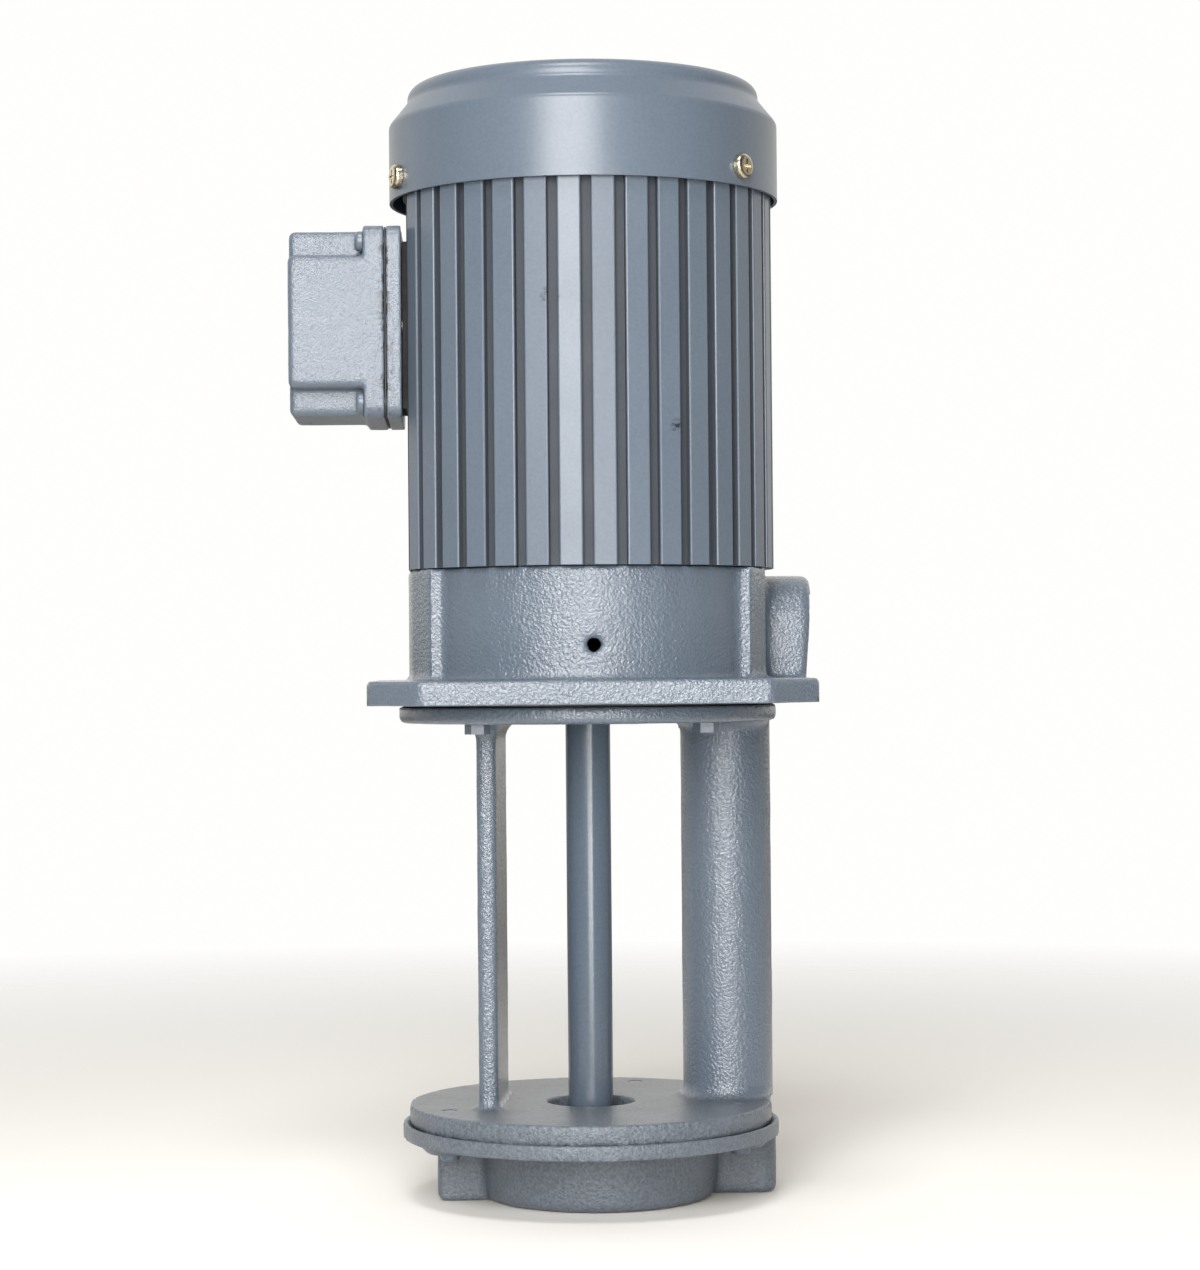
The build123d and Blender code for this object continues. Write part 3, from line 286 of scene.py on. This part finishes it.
materials = {
    "frame_paint": paint("frame_paint", BLUE_GREY, rough=0.34, pebble=0.0022, depth=0.00004,
                         grain=0.000006, streak=0.000012, scuffs=FRAME_SCUFFS),
    "cast_paint": paint("cast_paint", BLUE_GREY, rough=0.24, pebble=0.0011, depth=0.00046,
                        grain=0.00003, coat=0.6, coat_rough=0.08),
    "cover_paint": paint("cover_paint", BLUE_GREY, rough=0.31, pebble=0.0030, depth=0.00002,
                         grain=0.00001),
    "shaft_paint": paint("shaft_paint", SHAFT_GREY, rough=0.20, pebble=0.0030, depth=0.00002,
                         grain=0.000004, streak=0.000004),
    "screw_paint": paint("screw_paint", BLUE_GREY, rough=0.28, pebble=0.0015, depth=0.00008,
                         grain=0.00001),
    "plated_steel": metal("plated_steel", ZINC_YELLOW, 0.28, 2500.0, 0.00002, tint=ZINC_DULL),
    "bearing_steel": metal("bearing_steel", (0.60, 0.61, 0.63), 0.12, 3000.0, 0.000002),
    "bare_steel": metal("bare_steel", (0.45, 0.45, 0.46), 0.35, 1500.0, 0.00002),
    "lamination": metal("lamination", (0.30, 0.30, 0.32), 0.5, 1800.0, 0.00004),
    "copper": metal("copper", (0.55, 0.22, 0.09), 0.35, 1200.0, 0.00008),
    "cage": metal("cage", (0.62, 0.63, 0.65), 0.4, 900.0, 0.00006),
    "bronze": metal("bronze", (0.50, 0.34, 0.16), 0.4, 700.0, 0.0001),
    "stud_brass": metal("stud_brass", (0.68, 0.50, 0.22), 0.25, 2500.0, 0.00001),
    "fan_plastic": plain("fan_plastic", (0.03, 0.03, 0.033), 0.45, 1500.0, 0.00002),
    "gasket": plain("gasket", (0.035, 0.032, 0.030), 0.8, 1800.0, 0.00006),
    "rubber": plain("rubber", (0.025, 0.025, 0.026), 0.6, 1500.0, 0.00003),
    "block_resin": plain("block_resin", (0.08, 0.045, 0.03), 0.45, 1500.0, 0.00002),
}

slot_of = {part["node"]: part["material_slot"] for part in frame["record"]["subparts"]}
body_of = {node: body for body, group in frame["record"]["behaviour"]["bodies"].items() for node in group}
for name, obj in nodes.items():
    obj.data.materials.clear()
    obj.data.materials.append(materials[slot_of[name]])


# Cast skins: each casting's solid is remeshed, its edges softened and its surface made uneven

# The size and the height of the two displacements, in metres
WAVE = (0.016, 0.00022)
PEBBLE = (0.0045, 0.00010)
SOFTEN_SHARE = 0.5
SOFTEN_TURNS = 2
WELD = 1e-6


def add_piece(name, mesh, node):
    piece = bpy.data.objects.new(name, mesh)
    scene.collection.objects.link(piece)
    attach(piece, body_of[node])
    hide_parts(node)
    return piece


def welded_copy(node):
    mesh = nodes[node].data.copy()
    bm = bmesh.new()
    bm.from_mesh(mesh)
    bmesh.ops.remove_doubles(bm, verts=bm.verts, dist=WELD)
    bm.to_mesh(mesh)
    bm.free()
    return mesh


def apply_modifiers(piece):
    bpy.context.view_layer.update()
    shaped = piece.evaluated_get(bpy.context.evaluated_depsgraph_get())
    mesh = bpy.data.meshes.new_from_object(shaped)
    piece.modifiers.clear()
    piece.data = mesh
    for face in mesh.polygons:
        face.use_smooth = True


def cast_skin(node, voxel):
    """A cast skin over one solid; it never stands proud of it."""
    piece = add_piece(node + "_skin", welded_copy(node), node)
    remesh = piece.modifiers.new("remesh", "REMESH")
    remesh.mode = "VOXEL"
    remesh.voxel_size = voxel
    soften = piece.modifiers.new("soften", "SMOOTH")
    soften.factor = SOFTEN_SHARE
    soften.iterations = SOFTEN_TURNS
    for size, height in (WAVE, PEBBLE):
        clouds = bpy.data.textures.new(node + "_clouds", "CLOUDS")
        clouds.noise_scale = size
        clouds.noise_depth = 1
        push = piece.modifiers.new("pebble", "DISPLACE")
        push.texture = clouds
        push.texture_coords = "LOCAL"
        push.mid_level = 1.0
        push.strength = height
    apply_modifiers(piece)
    piece.data.materials.clear()
    piece.data.materials.append(materials[slot_of[node]])
    return piece


BRACKET_VOXEL = 0.00125
CASING_VOXEL = 0.00105
BOX_VOXEL = 0.00062
voxels = {"motor_bracket": BRACKET_VOXEL, "pump_column": BRACKET_VOXEL, "pump_casing": CASING_VOXEL,
          "terminal_box_cover": BOX_VOXEL, "terminal_box_base": BOX_VOXEL}
pieces = {node: cast_skin(node, voxel) for node, voxel in voxels.items()}


# Paints of single castings: the casing and the lower plate are greyer and grainier than the rest

PLATE_MARGIN = 0.0012
plate_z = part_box("casing_screws")[1].z + PLATE_MARGIN
casing_paint = paint("casing_paint", CASING_GREY, rough=0.33, pebble=0.0009, depth=0.00042,
                     grain=0.00006, speckle=0.45)
plate_paint = paint("plate_paint", CASING_GREY, rough=0.30, pebble=0.0009, depth=0.00040,
                    grain=0.00006, speckle=0.55)
box_paint = paint("box_paint", BLUE_GREY, rough=0.29, pebble=0.0007, depth=0.00026,
                  grain=0.00003, coat=0.4, coat_rough=0.12, chip_x=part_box("terminal_box_base")[0].x)
pieces["pump_casing"].data.materials[0] = casing_paint
pieces["terminal_box_cover"].data.materials[0] = box_paint
pieces["terminal_box_base"].data.materials[0] = box_paint
pieces["pump_column"].data.materials.append(plate_paint)
for face in pieces["pump_column"].data.polygons:
    if face.center.z < plate_z:
        face.material_index = 1


# Motor frame: flat lands with softened edges, and rougher groove walls between them, whose dark colour is
# painted shade in the grooves

GROOVES = 36
GROOVE_W = 0.0037
GROOVE_DEPTH = 0.0027
GROOVE_PHASE = math.radians(-91.4)
LAND_EDGE_R = 0.0006
EDGE_STEPS = 3
BORE_STEPS = 144
FRAME_WALL = 0.008


def in_groove(middle, across, up):
    """The point at a distance up from the axis and across from a groove's middle line."""
    out = Vector((math.cos(middle), math.sin(middle)))
    side = Vector((-out.y, out.x))
    return out * up + side * across


def frame_outline(r, flat_x):
    """The section's outer points, each with True where the side after it takes the groove paint, whose
    darker colour is painted shade.
    """
    half_groove = GROOVE_W / 2
    floor_r = r - GROOVE_DEPTH
    top_r = math.sqrt(r * r - half_groove * half_groove)
    edge_turns = [math.pi / 2 * s / EDGE_STEPS for s in range(EDGE_STEPS + 1)]
    edge = [(half_groove + LAND_EDGE_R * (1 - math.sin(a)), top_r - LAND_EDGE_R * (1 - math.cos(a)))
            for a in edge_turns]
    points = []
    for k in range(GROOVES):
        middle = GROOVE_PHASE + 2 * math.pi * k / GROOVES
        points += [(in_groove(middle, -across, up), False) for across, up in edge[:-1]]
        points.append((in_groove(middle, -edge[-1][0], edge[-1][1]), True))
        points.append((in_groove(middle, -half_groove, floor_r), True))
        points.append((in_groove(middle, half_groove, floor_r), True))
        points += [(in_groove(middle, across, up), False) for across, up in reversed(edge)]
    return [(Vector((max(p.x, -flat_x), p.y)), groove) for p, groove in points]


def make_frame():
    low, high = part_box("motor_frame")
    r = high.y
    outer = frame_outline(r, -low.x)
    bore_r = r - FRAME_WALL
    bore_turns = [2 * math.pi * k / BORE_STEPS for k in range(BORE_STEPS)]
    inner = [Vector((bore_r * math.cos(t), bore_r * math.sin(t))) for t in bore_turns]
    bm = bmesh.new()
    rings = []
    for z in (low.z, high.z):
        rings.append(([bm.verts.new((p.x, p.y, z)) for p, _ in outer],
                      [bm.verts.new((p.x, p.y, z)) for p in inner]))
    for k, (_, groove) in enumerate(outer):
        j = (k + 1) % len(outer)
        face = bm.faces.new((rings[0][0][k], rings[0][0][j], rings[1][0][j], rings[1][0][k]))
        face.material_index = 1 if groove else 0
    for k in range(BORE_STEPS):
        j = (k + 1) % BORE_STEPS
        bm.faces.new((rings[0][1][j], rings[0][1][k], rings[1][1][k], rings[1][1][j]))
    section = [p.to_3d() for p, _ in outer], [p.to_3d() for p in inner]
    for level, (out_ring, in_ring) in enumerate(rings):
        verts = out_ring + in_ring
        for a, b, c in geometry.tessellate_polygon(section):
            corners = (verts[a], verts[b], verts[c])
            bm.faces.new(corners if level == 1 else corners[::-1])
    bmesh.ops.recalc_face_normals(bm, faces=bm.faces)
    mesh = bpy.data.meshes.new("motor_frame_finned")
    bm.to_mesh(mesh)
    bm.free()
    mesh.materials.append(materials["frame_paint"])
    mesh.materials.append(groove_shade_paint)
    add_piece("motor_frame_finned", mesh, "motor_frame")


# Groove walls and floors: the rougher finish is the paint's own, the dark colour is painted shade for the
# grooves' recesses
groove_shade_paint = paint("groove_shade_paint", GROOVE_SHADE_GREY, rough=0.70, pebble=0.0016, depth=0.00012,
                     grain=0.00002)
make_frame()


# Light: a tall soft source before the object and to its left, a narrow strip to its right, a low
# one that lifts the casing, and one overhead

WARM_WHITE = (1.0, 0.99, 0.97)


def area_light(name, at, target, width, height, power, colour=WARM_WHITE):
    data = bpy.data.lights.new(name, "AREA")
    data.shape = "RECTANGLE"
    data.size = width
    data.size_y = height
    data.energy = power
    data.color = colour
    lamp = bpy.data.objects.new(name, data)
    scene.collection.objects.link(lamp)
    at = Vector(at)
    facing = Vector(target) - at
    lamp.matrix_world = Matrix.Translation(at) @ facing.to_track_quat("-Z", "Y").to_matrix().to_4x4()


area_light("key", at=(-0.23, -1.32, 0.45), target=(0, 0, 0.05), width=0.74, height=0.86,
           power=26.5, colour=(1.0, 0.99, 0.98))
area_light("strip", at=(0.30, -1.27, -0.02), target=(0, 0, -0.04), width=0.07, height=0.42, power=1.5)
area_light("low", at=(0.10, -1.26, -0.14), target=(0, 0, -0.15), width=0.46, height=0.14, power=2.9)
area_light("top", at=(-0.12, -0.60, 1.25), target=(0, 0, 0.2), width=0.42, height=0.40,
           power=9.0, colour=(1.0, 0.995, 0.99))


# Surroundings: dark before the object, bright behind it and dim below, with a white background

FRONT_LEVEL = (0.055, 0.056, 0.060)
BEHIND_LEVEL = (1.10, 1.08, 1.03)
BELOW_LEVEL = (0.13, 0.12, 0.105)
BEHIND_RANGE = (0.05, 0.50)
BELOW_RANGE = (-0.10, 0.08)
BACKGROUND = (1.0, 0.995, 0.985, 1.0)


def make_world():
    world = bpy.data.worlds.new("world")
    world.use_nodes = True
    scene.world = world
    w = Nodes(world.node_tree)
    out = w.add("ShaderNodeOutputWorld")
    split = w.add("ShaderNodeSeparateXYZ")
    w.link(w.add("ShaderNodeTexCoord").outputs["Generated"], split.inputs["Vector"])
    behind = w.ramp(split.outputs["Y"], *BEHIND_RANGE, 0.0, 1.0)
    level = w.mix(behind, FRONT_LEVEL, BEHIND_LEVEL)
    below = w.ramp(split.outputs["Z"], *BELOW_RANGE, 1.0, 0.0)
    lit = w.add("ShaderNodeBackground")
    w.link(w.mix(below, level, BELOW_LEVEL), lit.inputs["Color"])
    seen = w.add("ShaderNodeBackground")
    seen.inputs["Color"].default_value = BACKGROUND
    choose = w.add("ShaderNodeMixShader")
    w.link(w.add("ShaderNodeLightPath").outputs["Is Camera Ray"], choose.inputs["Fac"])
    w.link(lit.outputs["Background"], choose.inputs[1])
    w.link(seen.outputs["Background"], choose.inputs[2])
    w.link(choose.outputs["Shader"], out.inputs["Surface"])


make_world()


# Floor: a pale disc that fades out into the background

FLOOR_Z = -0.1825
FLOOR_R = 3.0
FLOOR_SIDES = 96
FLOOR_COLOUR = (0.88, 0.87, 0.85, 1.0)
FLOOR_ROUGH = 0.9
FLOOR_SHINE = 0.1
FLOOR_LIFT = (0.030, 0.018, 0.0)
FADE_FROM = 0.35
FADE_TO = 1.1


def make_floor():
    mesh = bpy.data.meshes.new("floor")
    bm = bmesh.new()
    bmesh.ops.create_circle(bm, cap_ends=True, segments=FLOOR_SIDES, radius=FLOOR_R)
    bmesh.ops.translate(bm, vec=(0, 0, FLOOR_Z), verts=bm.verts)
    bm.to_mesh(mesh)
    bm.free()
    floor = bpy.data.objects.new("floor", mesh)
    scene.collection.objects.link(floor)
    mat, n, shader = new_material("floor")
    shader.inputs["Base Color"].default_value = FLOOR_COLOUR
    shader.inputs["Roughness"].default_value = FLOOR_ROUGH
    shader.inputs["Specular IOR Level"].default_value = FLOOR_SHINE
    length = n.add("ShaderNodeVectorMath", operation="LENGTH")
    n.link(n.coords(), length.inputs[0])
    n.link(n.ramp(length.outputs["Value"], FADE_FROM, FADE_TO, 1.0, 0.0), shader.inputs["Alpha"])
    glow = n.mix(n.add("ShaderNodeLightPath").outputs["Is Camera Ray"], (0, 0, 0), FLOOR_LIFT)
    n.link(glow, shader.inputs["Emission Color"])
    shader.inputs["Emission Strength"].default_value = 1.0
    mesh.materials.append(mat)


make_floor()

scene.view_settings.view_transform = "Standard"
